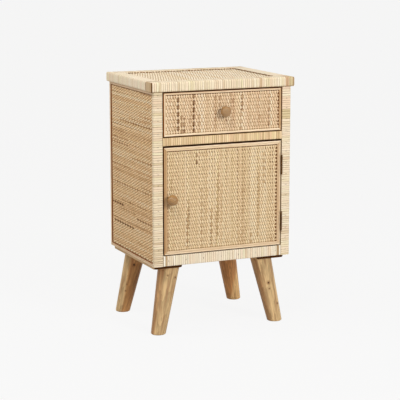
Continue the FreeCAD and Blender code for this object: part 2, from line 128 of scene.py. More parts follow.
# Ends of strands tucked in along the rails of the top, dark as end grain and as painted shade in the seam
tuck_length = 5.4 * mm
tuck_pitch = 8 * mm
tuck_thickness = 0.9 * mm
tuck_height = 2.1 * mm
tuck_round = 0.3 * mm
tuck_sink = 0.3 * mm
tuck_scatter = 0.06
tuck_length_factors = (0.85, 1.2)
tuck_height_factors = (0.85, 1)

# Beads of small reeds round the woven fronts and sides
reed_gap = 0.15 * mm
reed_round = 1.2 * mm
reed_steps = 3
# Outer sides of reeds that look into a gap are painted in shade
shaded_side_facing = 0.45

# Staples that hold the peel
staple_width = 4.0 * mm
staple_wire = 0.6 * mm
staple_leg = 2 * mm
staple_round = 0.2 * mm
staple_scatter = 0.12
staple_turn = 0.15

# Finishes
fibre_pace = 900.0
strand_jump = (313.0, 171.0, 229.0)
ply_thickness = 1.3 * mm
lacquer_roughness = 0.1


def take(piece):
    """Makes one piece the only selected and active one."""
    bpy.ops.object.select_all(action="DESELECT")
    piece.select_set(True)
    bpy.context.view_layer.objects.active = piece


def block(name, low, high):
    """A box between two corners, as a start for shaping."""
    low, high = Vector(low), Vector(high)
    bpy.ops.mesh.primitive_cube_add(size=1, location=(low + high) / 2, scale=high - low)
    bpy.ops.object.transform_apply()
    bpy.context.object.name = name
    return bpy.context.object


@contextlib.contextmanager
def shaping(piece):
    """Edit mode on one piece."""
    take(piece)
    bpy.ops.object.mode_set(mode="EDIT")
    yield
    bpy.ops.object.mode_set(mode="OBJECT")


def choose(kind, test):
    """Selects the vertices, edges or faces that pass a test, on the piece in edit mode."""
    bpy.ops.mesh.select_mode(type=kind)
    bpy.ops.mesh.select_all(action="DESELECT")
    data = bpy.context.edit_object.data
    mesh = bmesh.from_edit_mesh(data)
    for part in {"VERT": mesh.verts, "EDGE": mesh.edges, "FACE": mesh.faces}[kind]:
        if test(part):
            part.select_set(True)
    bmesh.update_edit_mesh(data)


def choose_all():
    bpy.ops.mesh.select_all(action="SELECT")


def choose_edges(axis, test):
    """Selects edges whose two ends pass a test on their place, if need be only those along an axis."""
    def passes(edge):
        run = edge.verts[1].co - edge.verts[0].co
        straight = axis is None or abs(run[axis]) > (1 - tiny) * run.length
        return straight and all(test(end.co) for end in edge.verts)
    choose("EDGE", passes)


def bevel(radius, steps):
    bpy.ops.mesh.bevel(offset=radius, segments=steps)


def cut(place, outward, **options):
    """Cuts the piece in edit mode through at a plane."""
    choose_all()
    bpy.ops.mesh.bisect(plane_co=place, plane_no=outward, **options)


def pull_back(depth, test):
    """Draws out those faces at the back whose place across passes a test."""
    choose("FACE", lambda face: face.normal.y > 0.9 and test(face.calc_center_median().x))
    bpy.ops.mesh.extrude_region_move(TRANSFORM_OT_translate={"value": (0, depth, 0)})


def trim(place, outward):
    """Cuts away what lies beyond a plane."""
    cut(place, outward, use_fill=True, clear_outer=True)


def put(thing):
    """Puts a new object into the scene."""
    bpy.context.scene.collection.objects.link(thing)
    return thing


def copy_of(piece):
    copy = piece.copy()
    copy.data = piece.data.copy()
    return put(copy)


def joined(name, pieces):
    """One piece made of several, with their places in its mesh."""
    take(pieces[0])
    for piece in pieces:
        piece.select_set(True)
    bpy.ops.object.transform_apply()
    bpy.ops.object.join()
    pieces[0].name = name
    pieces[0].data.name = name
    return pieces[0]


def remove(*pieces):
    for piece in pieces:
        bpy.data.objects.remove(piece)


def set_values(piece, name, values):
    """Sets a value that the finish reads, such as the tone, at each point of a piece."""
    attributes = piece.data.attributes
    made = attributes.get(name) or attributes.new(name, "FLOAT", "POINT")
    made.data.foreach_set("value", values)


def mark(piece, **values):
    """Sets such values on the whole of a piece."""
    for name, value in values.items():
        set_values(piece, name, [value] * len(piece.data.vertices))


def others_of(axis):
    return [other for other in (X, Y, Z) if other != axis]


def held(value, low=0.0):
    return min(max(value, low), 1.0)


def set_finish(piece, *materials):
    piece.data.materials.clear()
    for material in materials:
        piece.data.materials.append(material)


def eased_block(name, low, high, radius, material):
    """A box with all its edges cut off at a slant."""
    piece = block(name, low, high)
    with shaping(piece):
        choose_all()
        bevel(radius, 1)
    set_finish(piece, material)
    return piece


def hand_over(piece, body, slot, *replaced):
    """Lets a finished piece ride on its body, if need be in place of CAD nodes."""
    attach(piece, body)
    if replaced:
        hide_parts(*replaced)


def tint(red, green, blue):
    """A colour as a screen shows it, in the shader's linear values."""
    def linear(value):
        share = value / 255
        return share / 12.92 if share <= 0.04045 else ((share + 0.055) / 1.055) ** 2.4
    return (linear(red), linear(green), linear(blue), 1)


class Shader:
    """Holds the shader tree that is being built, which the functions below add to."""
    tree = None


def feed(made, inputs):
    """Sets or links the inputs of a shader node."""
    for name, value in inputs.items():
        if isinstance(value, bpy.types.NodeSocket):
            Shader.tree.links.new(value, made.inputs[name])
        else:
            made.inputs[name].default_value = value


def add(kind, inputs=None, **settings):
    """Adds a shader node with its settings and inputs."""
    made = Shader.tree.nodes.new("ShaderNode" + kind)
    for name, value in settings.items():
        setattr(made, name, value)
    feed(made, inputs or {})
    return made


def calc(operation, first, second=0.0):
    return add("Math", {0: first, 1: second}, operation=operation).outputs[0]


def on_vectors(operation, first, second=(0.0, 0.0, 0.0)):
    """A sum on vectors, which gives a vector, or a number for a length or a product."""
    made = add("VectorMath", {0: first, 1: second}, operation=operation)
    return made.outputs["Value" if operation in ("LENGTH", "DISTANCE", "DOT_PRODUCT") else "Vector"]


def scaled(vector, factor):
    return add("VectorMath", {0: vector, "Scale": factor}, operation="SCALE").outputs[0]


def mapped(vector, **inputs):
    """A vector moved, turned or scaled."""
    return add("Mapping", {"Vector": vector, **inputs}).outputs[0]


def part_of(vector, axis):
    return add("SeparateXYZ", {0: vector}).outputs[axis]


def remap(value, low, high, to_low=0.0, to_high=1.0):
    """A value moved from one range to another, with soft ends."""
    inputs = {"Value": value, "From Min": low, "From Max": high, "To Min": to_low, "To Max": to_high}
    return add("MapRange", inputs, interpolation_type="SMOOTHSTEP").outputs["Result"]


def either_way(value, reach):
    """A noise value, which lies round a half, moved to lie round zero."""
    return calc("MULTIPLY", calc("SUBTRACT", value, 0.5), reach)


def blend(share, first, second, kind="MIX"):
    """Two colours mixed."""
    made = add("Mix", {0: share, 6: first, 7: second}, data_type="RGBA", blend_type=kind)
    return made.outputs[2]


def shaded(colour, factor):
    """A colour made darker or lighter by a factor."""
    grey = add("CombineColor", {0: factor, 1: factor, 2: factor}).outputs[0]
    return blend(1.0, colour, grey, "MULTIPLY")


def ramp(value, *stops):
    """A colour for each value, through stops of (place, colour)."""
    made = add("ValToRGB", {"Fac": value})
    elements = made.color_ramp.elements
    for place, _ in stops[2:]:
        elements.new(place)
    for element, (place, colour) in zip(elements, stops):
        element.position = place
        element.color = colour
    return made.outputs["Color"]


def noise(vector, scale, detail=2.0, roughness=0.5):
    inputs = {"Vector": vector, "Scale": scale, "Detail": detail, "Roughness": roughness}
    return add("TexNoise", inputs).outputs["Fac"]


def attribute(name):
    return add("Attribute", attribute_name=name).outputs["Fac"]


def new_group(name, *numbers):
    """Starts a shader group that takes a vector and named numbers."""
    group = Shader.tree = bpy.data.node_groups.new(name, "ShaderNodeTree")
    for socket, kind in (("Vector", "Vector"), *((number, "Float") for number in numbers)):
        group.interface.new_socket(socket, in_out="INPUT", socket_type="NodeSocket" + kind)
    return group.nodes.new("NodeGroupInput").outputs


def close_group(**results):
    """Gives the group its named results."""
    for name in results:
        Shader.tree.interface.new_socket(name, in_out="OUTPUT", socket_type="NodeSocketFloat")
    feed(Shader.tree.nodes.new("NodeGroupOutput"), results)
    return Shader.tree


def fibre_group():
    """Split rattan: each strand's own tone and hue, how deep it dips, soft patches and fine fibres."""
    source = new_group("rattan_fibre")
    tone = attribute("tone")
    vector = on_vectors("ADD", source["Vector"], scaled(strand_jump, tone))
    return close_group(Tone=tone, Hue=attribute("hue"), Dip=attribute("dip"),
                       Patch=noise(vector, 0.35, 3.0, 0.6), Fibre=noise(vector, 2.4, 3.0, 0.65))


def grain_group():
    """Wood with its grain along Z: growth rings round a wavering, tapering pith, patches and pores."""
    source = new_group("wood_grain", "Rings", "Waver", "Taper")

    def stretched(across, along):
        return mapped(source["Vector"], Scale=(across, across, along))

    wander = add("TexNoise", {"Vector": stretched(26.0, 7.0), "Detail": 2.0}).outputs["Color"]
    centred = on_vectors("SUBTRACT", wander, (0.5, 0.5, 0.5))
    vector = on_vectors("ADD", source["Vector"], scaled(centred, source["Waver"]))
    distance = on_vectors("LENGTH", on_vectors("MULTIPLY", vector, (1.0, 1.0, 0.0)))
    rise = calc("MULTIPLY", part_of(source["Vector"], Z), source["Taper"])
    rings = calc("MULTIPLY", calc("ADD", distance, rise), source["Rings"])
    return close_group(Rings=calc("FRACT", rings),
                       Patch=noise(stretched(40.0, 5.0), 1.0),
                       Streak=noise(stretched(190.0, 7.0), 1.0, 3.0, 0.6),
                       Pores=noise(stretched(1400.0, 60.0), 1.0))


def mottle_group():
    """Cloudy marks and fine scuffs of metal and plastic."""
    source = new_group("mottle")
    long = mapped(source["Vector"], Scale=(3000.0, 3000.0, 150.0))
    return close_group(Cloud=noise(source["Vector"], 180.0, 4.0), Scuff=noise(long, 1.0))


fibre, grain, mottle = fibre_group(), grain_group(), mottle_group()


def use_group(group, vector, **inputs):
    return add("Group", {"Vector": vector, **inputs}, node_tree=group).outputs


def start_tree(owner):
    """Starts the shader of a material or world."""
    owner.use_nodes = True
    Shader.tree = owner.node_tree
    Shader.tree.nodes.clear()


def new_material(name):
    material = bpy.data.materials.new(name)
    start_tree(material)
    return material, add("TexCoord").outputs["Object"]


def surfaced(material, colour, roughness, height, depth, strength=0.6, gloss=0.5, metallic=0.0, lacquer=0.0):
    """Gives a material its colour, roughness, sheen and fine relief."""
    relief = add("Bump", {"Height": height, "Distance": depth, "Strength": strength})
    shader = add("BsdfPrincipled", {
        "Base Color": colour, "Roughness": roughness, "Normal": relief.outputs[0], "Metallic": metallic,
        "Specular IOR Level": gloss, "Coat Weight": lacquer, "Coat Roughness": lacquer_roughness})
    add("OutputMaterial", {"Surface": shader.outputs["BSDF"]})
    return material


def facing(axis):
    """1 on faces that look along an axis, and 0 on the others."""
    normal = add("TexCoord").outputs["Normal"]
    return remap(calc("ABSOLUTE", part_of(normal, axis)), 0.5, 0.8)


def rattan(name, slow, pace, places, colours, contrast, clouds, dip_shade, dip_range, roughness):
    """Split rattan whose fibres are long along the slow axes, where patches follow at the given pace.
    Its colours go from dark to pale, each at its place on the scale of tones."""
    material, place = new_material(name)
    scale = [pace if axis in slow else fibre_pace for axis in (X, Y, Z)]
    marks = use_group(fibre, mapped(place, Scale=scale))
    tone = calc("ADD", marks["Tone"], either_way(marks["Patch"], clouds))
    body = ramp(tone, *zip(places, [tint(*colour) for colour in colours]))
    cast = ramp(marks["Hue"], (0.0, (0.95, 1.0, 0.86, 1)), (0.5, (1, 1, 1, 1)), (1.0, (1.0, 0.9, 0.88, 1)))
    body = blend(1.0, body, cast, "MULTIPLY")
    body = shaded(body, remap(marks["Fibre"], 0.25, 0.75, 1 - contrast, 1 + contrast))
    # Painted shade: dips, strip edges and gap sides darken towards warm brown by the dip value
    painted_dip_shade = calc("MULTIPLY", remap(marks["Dip"], *dip_range), dip_shade)
    body = blend(painted_dip_shade, body, tint(160, 122, 34), "MULTIPLY")
    worn = remap(marks["Patch"], 0.3, 0.7, roughness + 0.08, roughness - 0.08)
    return surfaced(material, body, worn, marks["Fibre"], 0.15 * mm, 0.4, gloss=0.1)


def grain_along(place, axis, pith):
    """Turns an axis of the piece to the grain's Z, and sets the pith's distance from the origin."""
    turn = {X: (0.0, pi / 2, 0.0), Y: (pi / 2, 0.0, 0.0), Z: (0.0, 0.0, 0.0)}[axis]
    return mapped(place, Rotation=turn, Location=pith)


def wood(name, axis, colours, roughness, rings=220.0, pith=(0.07, 0.09, 0.0), waver=0.008, ends=None,
         toned=False, shaded_neck=None, gloss=0.5, lacquer=0.0):
    """Planed or turned wood with its grain along one axis, and, if given, another colour on its ends.
    A toned piece is browner where its tone is low. A shaded neck is painted in shade between two places
    along Y."""
    material, place = new_material(name)
    dark, middle, pale = [tint(*colour) for colour in colours]
    vector = grain_along(place, axis, pith)
    marks = use_group(grain, vector, Rings=rings, Waver=waver, Taper=0.03)
    soft = ramp(marks["Patch"], (0.3, middle), (0.7, pale))
    line = remap(marks["Rings"], 0.45, 1.0, 0.0, 0.5)
    pore = remap(marks["Pores"], 0.55, 0.75, 0.0, 0.35)
    body = blend(calc("MAXIMUM", line, pore), soft, dark)
    if toned:
        share = remap(attribute("tone"), 0.0, 1.0, 1.0, 0.0)
        body = blend(share, body, tint(192, 158, 110), "MULTIPLY")
    # Painted shade at a knob's neck, where the ball shades it
    if shaded_neck:
        share = remap(part_of(place, Y), *shaded_neck, 0.0, 0.85)
        body = blend(share, body, tint(96, 52, 14))
    if ends:
        body = blend(facing(axis), body, ends)
    rough = remap(marks["Pores"], 0.3, 0.8, roughness, roughness + 0.15)
    return surfaced(material, body, rough, marks["Pores"], 0.08 * mm, gloss=gloss, lacquer=lacquer)


def plywood(name, axis, through, edges=None):
    """Sanded plywood with its grain along one axis and its plies stacked through another."""
    material, place = new_material(name)
    vector = grain_along(place, axis, (0.3, 0.25, 0.0))
    marks = use_group(grain, vector, Rings=90.0, Waver=0.04, Taper=0.05)
    face = ramp(marks["Patch"], (0.3, tint(205, 172, 130)), (0.7, tint(224, 196, 156)))
    line = remap(marks["Rings"], 0.5, 1.0, 0.0, 0.4)
    face = blend(line, face, tint(184, 146, 102))
    depth = calc("MULTIPLY", part_of(place, through), 1 / ply_thickness)
    ply = remap(calc("PINGPONG", depth, 1.0), 0.35, 0.6, 0.0, 0.3)
    body = blend(ply, face, tint(150, 110, 74))
    # Edges, where given, are painted dark as the shade in the gaps round a door or drawer
    if edges:
        body = blend(facing(through), edges, body)
    rough = remap(marks["Pores"], 0.3, 0.8, 0.55, 0.75)
    return surfaced(material, body, rough, marks["Pores"], 0.1 * mm, gloss=0.1)


def metal(name, dark, bright, roughness):
    material, place = new_material(name)
    marks = use_group(mottle, place)
    colour = ramp(marks["Cloud"], (0.35, tint(*dark)), (0.7, tint(*bright)))
    rough = remap(marks["Scuff"], 0.3, 0.7, roughness - 0.1, roughness + 0.12)
    return surfaced(material, colour, rough, marks["Scuff"], 0.02 * mm, metallic=1.0)


def moulded(name, dark, bright, roughness=0.8, gloss=0.0):
    """Plastic, ferrite, or painted shade for gaps and hollows, cloudy between two colours."""
    material, place = new_material(name)
    marks = use_group(mottle, place)
    colour = ramp(marks["Cloud"], (0.3, tint(*dark)), (0.7, tint(*bright)))
    rough = remap(marks["Cloud"], 0.3, 0.7, roughness - 0.06, roughness + 0.06)
    return surfaced(material, colour, rough, marks["Cloud"], 0.03 * mm, gloss=gloss)


# Height above the floor, in millimetres, turn about the leg, in degrees, and size of each knot
leg_knots = {
    "front_left_leg": [(142, -113, 1.7), (135, -60, 2.4)],
    "rear_left_leg": [(123, -108, 3.2), (56, -125, 1.8), (73, -126, 1.5)],
    "front_right_leg": [(99, -98, 3.0), (84, -100, 1.7), (45, -59, 2.4)],
    "rear_right_leg": [(88, 40, 2.4)],
}
# How each mark of the grain shades a leg: the range of the mark, and the factors at its ends
leg_marks = (("Patch", 0.3, 0.7, 0.86, 1.13), ("Streak", 0.3, 0.7, 0.74, 1.22),
             ("Rings", 0.2, 1.0, 1.08, 0.82), ("Pores", 0.5, 0.75, 1.0, 0.92))
leg_head_radius = 25.25 * mm
foot_radius = 17.5 * mm
knot_raggedness = 1.2 * mm
heart_raggedness = 30 * mm
heart_edge_softness = 3 * mm


def leg_line(node):
    """Middles of a leg's foot and head."""
    low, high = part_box(node)
    mounts = {mount["name"]: mount["pos_m"] for mount in frame["record"]["mounts"]}
    head_x = high.x - leg_head_radius if "left" in node else low.x + leg_head_radius
    head_y = high.y - leg_head_radius if "front" in node else low.y + leg_head_radius
    return Vector(mounts[node.replace("_leg", "_foot")]), Vector((head_x, head_y, high.z))


def leg_wood(node, pith, taper, heart_side, heart_edge, heart, sapwood):
    """Turned fir: rings that rise in arches, brown heartwood on one side, and its own dark knots.
    The heartwood lies beyond an edge that is measured from the leg's middle towards its side."""
    material, place = new_material(node + "_fir")
    foot, head = leg_line(node)
    turn = (head - foot).rotation_difference(Vector((0, 0, 1))).to_matrix()
    upright = mapped(place, Rotation=turn.to_euler(), Location=-(turn @ foot))
    marks = use_group(grain, on_vectors("ADD", upright, pith), Rings=210.0, Waver=0.008, Taper=taper)
    side = on_vectors("DOT_PRODUCT", upright, heart_side)
    reach = calc("ADD", side, either_way(marks["Patch"], heart_raggedness))
    edge = remap(reach, heart_edge - heart_edge_softness, heart_edge + heart_edge_softness)
    body = blend(edge, tint(*sapwood), tint(*heart))
    for mark_name, *spread in leg_marks:
        body = shaded(body, remap(marks[mark_name], *spread))
    flush = remap(marks["Streak"], 0.38, 0.52, 0.3, 0.0)
    body = blend(flush, body, tint(182, 118, 78))
    for height, angle, size in leg_knots[node]:
        share = height * mm / head.z
        radius = foot_radius + (leg_head_radius - foot_radius) * share
        side = Vector((cos(radians(angle)), sin(radians(angle)), 0))
        gap = on_vectors("DISTANCE", place, foot.lerp(head, share) + side * radius)
        ragged = calc("ADD", gap, calc("MULTIPLY", marks["Pores"], knot_raggedness))
        halo = remap(ragged, size * 0.9 * mm, size * 2.8 * mm, 0.6, 0.0)
        body = blend(halo, body, tint(140, 92, 54))
        centre = remap(ragged, size * 0.6 * mm, size * 1.2 * mm, 0.95, 0.0)
        body = blend(centre, body, tint(60, 34, 18))
    rough = remap(marks["Pores"], 0.3, 0.8, 0.42, 0.6)
    return surfaced(material, body, rough, marks["Pores"], 0.08 * mm, gloss=0.2)


# Colours from dark to pale, and the places of those of rattan on the scale of tones
peel_places = (0.0, 0.14, 0.5, 0.95)
peel_colours = ((120, 80, 40), (206, 176, 136), (245, 228, 199), (255, 247, 228))
mid_rail_colours = ((120, 80, 40), (214, 180, 136), (248, 222, 180), (255, 240, 212))
weave_places = (0.0, 0.1, 0.3, 0.55, 0.95)
weave_dark = (104, 64, 30)
door_colours = ((176, 140, 101), (226, 196, 154), (246, 223, 184), (255, 245, 216))
drawer_colours = ((168, 131, 96), (226, 194, 157), (248, 222, 187), (255, 244, 219))
side_colours = ((160, 115, 75), (224, 184, 138), (253, 220, 174), (255, 246, 218))
top_colours = ((186, 151, 114), (243, 220, 188), (255, 241, 214), (255, 250, 234))
reed_colours = ((204, 165, 118), (245, 220, 182), (253, 234, 203))
frame_colours = ((178, 136, 92), (208, 172, 128), (222, 190, 148))


def wrap_finish(name, axis, colours):
    return rattan(name, others_of(axis), 45.0, peel_places, colours, 0.07, 0.22, 0.7, (0.0, 1.0), 0.5)


def weave_finish(name, axis, colours, dip_shade, dip_range=(0.04, 0.6)):
    colours = (weave_dark, *colours)
    return rattan(name, [axis], 100.0, weave_places, colours, 0.12, 0.85, dip_shade, dip_range, 0.6)


def along_each(make, name, *look, **others):
    """One finish for each axis."""
    return {axis: make(name + "XYZ"[axis], axis, *look, **others) for axis in (X, Y, Z)}


wraps = along_each(wrap_finish, "peel_along_", peel_colours)
mid_rail_wrap = wrap_finish("mid_rail_peel", X, mid_rail_colours)
door_weave = weave_finish("door_strands", Z, door_colours, 0.64)
drawer_weave = weave_finish("drawer_strands", Z, drawer_colours, 0.76)
side_weave = weave_finish("side_strands", Y, side_colours, 0.84)
top_weave = weave_finish("top_strands", Y, top_colours, 0.92, (0.0, 0.42))
reed_woods = along_each(wood, "reed_wood_", reed_colours, 0.42, toned=True)
plain_woods = along_each(wood, "frame_wood_", frame_colours, 0.55)
# Painted shade in gaps and hollows: sides of reeds, rail cores between strips, sheets behind the weaves, and
# the tucked strand ends, which are also dark end grain
gap_shade = moulded("painted_gap_shade", (126, 60, 12), (148, 76, 20))
door_gap_shade = moulded("painted_door_gap_shade", (88, 40, 6), (108, 54, 12))
drawer_gap_shade = moulded("painted_drawer_gap_shade", (162, 90, 28), (186, 110, 42))
hollow_shade = moulded("painted_hollow_shade", (92, 46, 8), (122, 66, 16))
tuck_end_and_shade = moulded("tucked_end_and_painted_shade", (112, 72, 34), (140, 96, 52))
bronze = metal("dark_bronze", (74, 50, 30), (112, 80, 50), 0.42)
zinc = metal("zinc_plate", (150, 150, 146), (186, 185, 178), 0.38)
staple_steel = metal("dull_staple_wire", (72, 50, 32), (104, 78, 54), 0.5)


def wind(strip, axis, start, stop, rng, tone, pitch=strip_pitch, spots=(), finish=None):
    """Copies one turn of peel along a rail, each with its own width, depth, slant, tone and hue.
    A spot gives all the turns between two places the same tone and hue."""
    count = max(1, round((stop - start) / pitch))
    shares = [1 + rng.uniform(-strip_looseness, strip_looseness) for _ in range(count)]
    unit = (stop - start) / sum(shares)
    centre = sum((Vector(corner) for corner in strip.bound_box), Vector()) / 8
    turns = []
    for index, share in enumerate(shares):
        width = share * unit
        angle = rng.gauss(0, strip_slant) if 0 < index < count - 1 else 0
        sizes = [1 - rng.uniform(*strip_sink) - slant_sink * abs(angle)] * 3
        sizes[axis] = (width - strip_gap * rng.choice(strip_gap_factors)) / strip_pitch
        middle = centre.copy()
        middle[axis] = start + width / 2
        start += width
        slant = Matrix.Rotation(angle, 4, "X" if axis == Y else "Y")
        turn = copy_of(strip)
        turn.matrix_world = (Matrix.Translation(middle) @ slant @ Matrix.Diagonal((*sizes, 1))
                             @ Matrix.Translation(-centre))
        own_tone, own_hue = rng.gauss(tone, strip_tone_spread), rng.gauss(middle_hue, strip_hue_spread)
        for spot_start, spot_stop, spot_tone, spot_hue in spots:
            if spot_start < middle[axis] < spot_stop:
                own_tone = spot_tone + rng.uniform(-spot_tone_scatter, spot_tone_scatter)
                own_hue = spot_hue
        mark(turn, tone=held(own_tone), hue=held(own_hue))
        set_finish(turn, finish or wraps[axis])
        turns.append(turn)
    remove(strip)
    return turns


def round_strip(strip, axis, corners, front=None, gaps=()):
    """Rounds a turn of peel over the rail's corners, and its own two edges.
    Its two edges, and the sides that look into a gap behind the front, are painted in shade."""
    others = others_of(axis)
    with shaping(strip):
        for places, radius in corners:
            choose_edges(axis, lambda co: all(abs(co[other] - at) < tiny
                                              for other, at in zip(others, places)))
            bevel(radius, round_steps)
        choose_edges(None, lambda co: abs(abs(co[axis]) - strip_pitch / 2) < tiny)
        bevel(strip_edge, strip_edge_steps)
    flat = strip_pitch / 2 - strip_edge

    def depth(co):
        if any(abs(co[side] - place) < gap_side for side, place in gaps):
            return held((co.y - front) / gap_depth)
        return held((abs(co[axis]) - flat) / strip_edge)

    set_values(strip, "dip", [depth(vert.co) for vert in strip.data.vertices])


def plain_strip(low, high, axis):
    low, high = Vector(low), Vector(high)
    low[axis], high[axis] = -strip_pitch / 2, strip_pitch / 2
    return block("peel_strip", low, high)


def core(low, high):
    """The rail inside its winding, painted dark as the shade where it shows between the strips."""
    inset = Vector((core_inset, core_inset, core_inset))
    return eased_block("core", Vector(low) + inset, Vector(high) - inset, core_inset, hollow_shade)


def end_strips(low, high, side, thickness, seamed, rng):
    """Upright strips that close a long top rail's end, if need be with a dark seam at the front corner."""
    outer = high.x if side > 0 else low.x
    inner = outer - side * thickness
    strip = plain_strip((min(outer, inner), 0, low.z), (max(outer, inner), 0, high.z), Y)
    rounded = 0.9 * thickness
    round_strip(strip, Y, [((outer, low.z), rounded), ((outer, high.z), rounded)])
    if not seamed:
        return wind(strip, Y, low.y, high.y, rng, end_tone, end_pitch)
    seam = low.y + seam_width
    dark = copy_of(strip)
    turns = wind(strip, Y, seam, high.y, rng, seamed_end_tone, end_pitch)
    spots = [(low.y, seam, seam_tone, middle_hue)]
    return turns + wind(dark, Y, low.y, seam, rng, seamed_end_tone, seam_width, spots)


def wound_top_rail(place, axis, outward, seed, tone):
    """A rail of the top, wound with peel, with its ledge under the woven sheet's board.
    The front and back rails run to the corners, and upright strips close their ends."""
    rng = random.Random(seed)
    node = "top_%s_rail" % place
    across = Y if axis == X else X
    low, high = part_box(node)
    ledge_low, ledge_high = low.copy(), high.copy()
    ledge_high.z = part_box("top_board")[0].z
    if axis == X:
        ledge_low.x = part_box("top_left_rail")[1].x - ledge_width
        ledge_high.x = -ledge_low.x
    else:
        ledge_low.y += ledge_width
        ledge_high.y -= ledge_width
    near, far, ledge_near = (low, high, ledge_low) if outward < 0 else (high, low, ledge_high)
    far[across] += outward * ledge_width
    outer, inner = near[across], far[across]
    ledge_near[across] = inner
    seamed = place == "front"
    strip = plain_strip(low, high, axis)
    corners = [((outer, low.z), outer_round), ((outer, high.z), outer_round), ((inner, high.z), inner_round)]
    round_strip(strip, axis, corners, low.y, [(Z, low.z)] if seamed else [])
    if axis == X:
        left_end = seam_thickness if seamed else outer_round
        spots = front_rail_spots if seamed else ()
        turns = wind(strip, X, low.x + left_end, high.x - outer_round, rng, tone, spots=spots)
        turns += end_strips(low, high, -1, left_end, seamed, rng)
        turns += end_strips(low, high, 1, outer_round, False, rng)
    else:
        spots = [(low.y, low.y + seam_width, *left_rail_front)] if outward < 0 else ()
        turns = wind(strip, Y, low.y, high.y, rng, tone, spots=spots)
    turns.append(core(low, high))
    turns.append(eased_block("ledge", ledge_low, ledge_high, strip_edge, plain_woods[X]))
    hand_over(joined("wound_" + node, turns), "cabinet", "peel_wrap", node)


def wound_stile(place, side, seed, tone, spots=()):
    """A front stile: an L of lip and web, wound from the floor of the body to the top."""
    rng = random.Random(seed)
    node = "front_%s_stile" % place
    low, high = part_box(node)
    board_low, board_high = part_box(place + "_side_board")
    inner, outer = (high.x, low.x) if side < 0 else (low.x, high.x)
    web_edge = board_high.x if side < 0 else board_low.x
    strip = plain_strip(low, (high.x, board_low.y, 0), Z)
    with shaping(strip):
        cut((web_edge, 0, 0), (1, 0, 0))
        pull_back(high.y - board_low.y, lambda x: side * (x - web_edge) < 0)
    corners = [((outer, low.y), outer_round), ((inner, low.y), inner_round)]
    round_strip(strip, Z, corners, low.y, [(X, inner)])
    turns = wind(strip, Z, low.z, high.z, rng, tone, spots=spots)
    turns.append(core(low, (high.x, board_low.y, high.z)))
    hand_over(joined("wound_%s_stile" % place, turns), "cabinet", "peel_wrap", node)


def wound_cross_rail(node, seed, tone, finish, gaps, ends=()):
    """A rail over or under the door. It may have gaps above and below it, and odd turns at its ends."""
    rng = random.Random(seed)
    low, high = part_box(node)
    strip = plain_strip(low, high, X)
    corners = [((low.y, low.z), inner_round), ((low.y, high.z), inner_round)]
    round_strip(strip, X, corners, low.y, [(Z, low.z), (Z, high.z)] if gaps else [])
    spots = []
    for end, inward in ((low.x, 1), (high.x, -1)):
        for start, stop, *look in ends:
            spots.append((*sorted((end + inward * start, end + inward * stop)), *look))
    turns = wind(strip, X, low.x, high.x, rng, tone, spots=spots, finish=finish)
    turns.append(core(low, high))
    hand_over(joined("wound_" + node, turns), "cabinet", "peel_wrap", node)


def wave(y, pitch):
    """Rise of a strand from the middle of the weave, flattened where it rounds a stake."""
    return swing * tanh(crest * sin(pi * y / pitch)) / tanh(crest)


def woven_strand(width, pitch, length, lean, under, short):
    """One strand along Y, over the first stake and under the next, or the other way round."""
    half, thick, period = strand_fill * width / 2, strand_thickness / 2, 2 * pitch
    strand = block("strand", (-half, 0, -thick), (half, period, thick))
    with shaping(strand):
        choose("FACE", lambda face: abs(face.normal.y) > 0.9)
        bpy.ops.mesh.delete(type="ONLY_FACE")
        choose_edges(Y, lambda co: co.z > 0)
        bevel(strand_round, 1)
        choose_edges(Y, lambda co: True)
        bpy.ops.mesh.subdivide(number_cuts=strand_steps - 1)
        for step in range(strand_steps + 1):
            y = period * step / strand_steps
            choose("VERT", lambda vert: abs(vert.co.y - y) < tiny)
            move = (lean * cos(pi * y / pitch), 0, wave(y, pitch))
            bpy.ops.transform.translate(value=move)
    repeat = strand.modifiers.new("repeat", "ARRAY")
    repeat.count = ceil(length / period) + 2
    repeat.use_relative_offset = False
    repeat.use_constant_offset = True
    repeat.constant_offset_displace = (0, period, 0)
    repeat.use_merge_vertices = True
    repeat.merge_threshold = strand_weld
    bpy.ops.object.modifier_apply(modifier=repeat.name)
    with shaping(strand):
        choose_all()
        bpy.ops.transform.translate(value=(0, -pitch if under else -period, 0))
        trim((0, 0, 0), (0, -1, 0))
        trim((0, length - short, 0), (0, 1, 0))
    bpy.ops.object.shade_smooth()
    # The dip value gives each strand painted shade where it sinks between the stakes
    set_values(strand, "dip", [held(0.5 - vert.co.z / (2 * swing)) for vert in strand.data.vertices])
    return strand


def woven_stake(width):
    """A flat stake along X that the strands pass over and under."""
    half, thick = stake_width / 2, stake_thickness / 2
    stake = block("stake", (0, -half, -thick), (width, half, thick))
    with shaping(stake):
        choose_edges(X, lambda co: co.z > 0)
        bevel(stake_round, 1)
    mark(stake, tone=stake_tone, hue=middle_hue, dip=stake_dip)
    return stake


def part_strands(strands, at, opening, start, stop):
    """Pushes the strands on both sides of a line apart over a part of their length."""
    first = max(index for index, strand in enumerate(strands) if strand.location.x < at)
    for step, share in enumerate(opening_shares):
        for index, way in ((first - step, -1), (first + 1 + step, 1)):
            if 0 <= index < len(strands):
                with shaping(strands[index]):
                    choose("VERT", lambda vert: start < vert.co.y < stop)
                    bpy.ops.transform.translate(value=(way * share * opening, 0, 0))


def darken(strand, start, stop, tone):
    """Gives a strand a darker tone over a part of its length."""
    for vert, own in zip(strand.data.vertices, strand.data.attributes["tone"].data):
        if start < vert.co.y < stop:
            own.value = tone


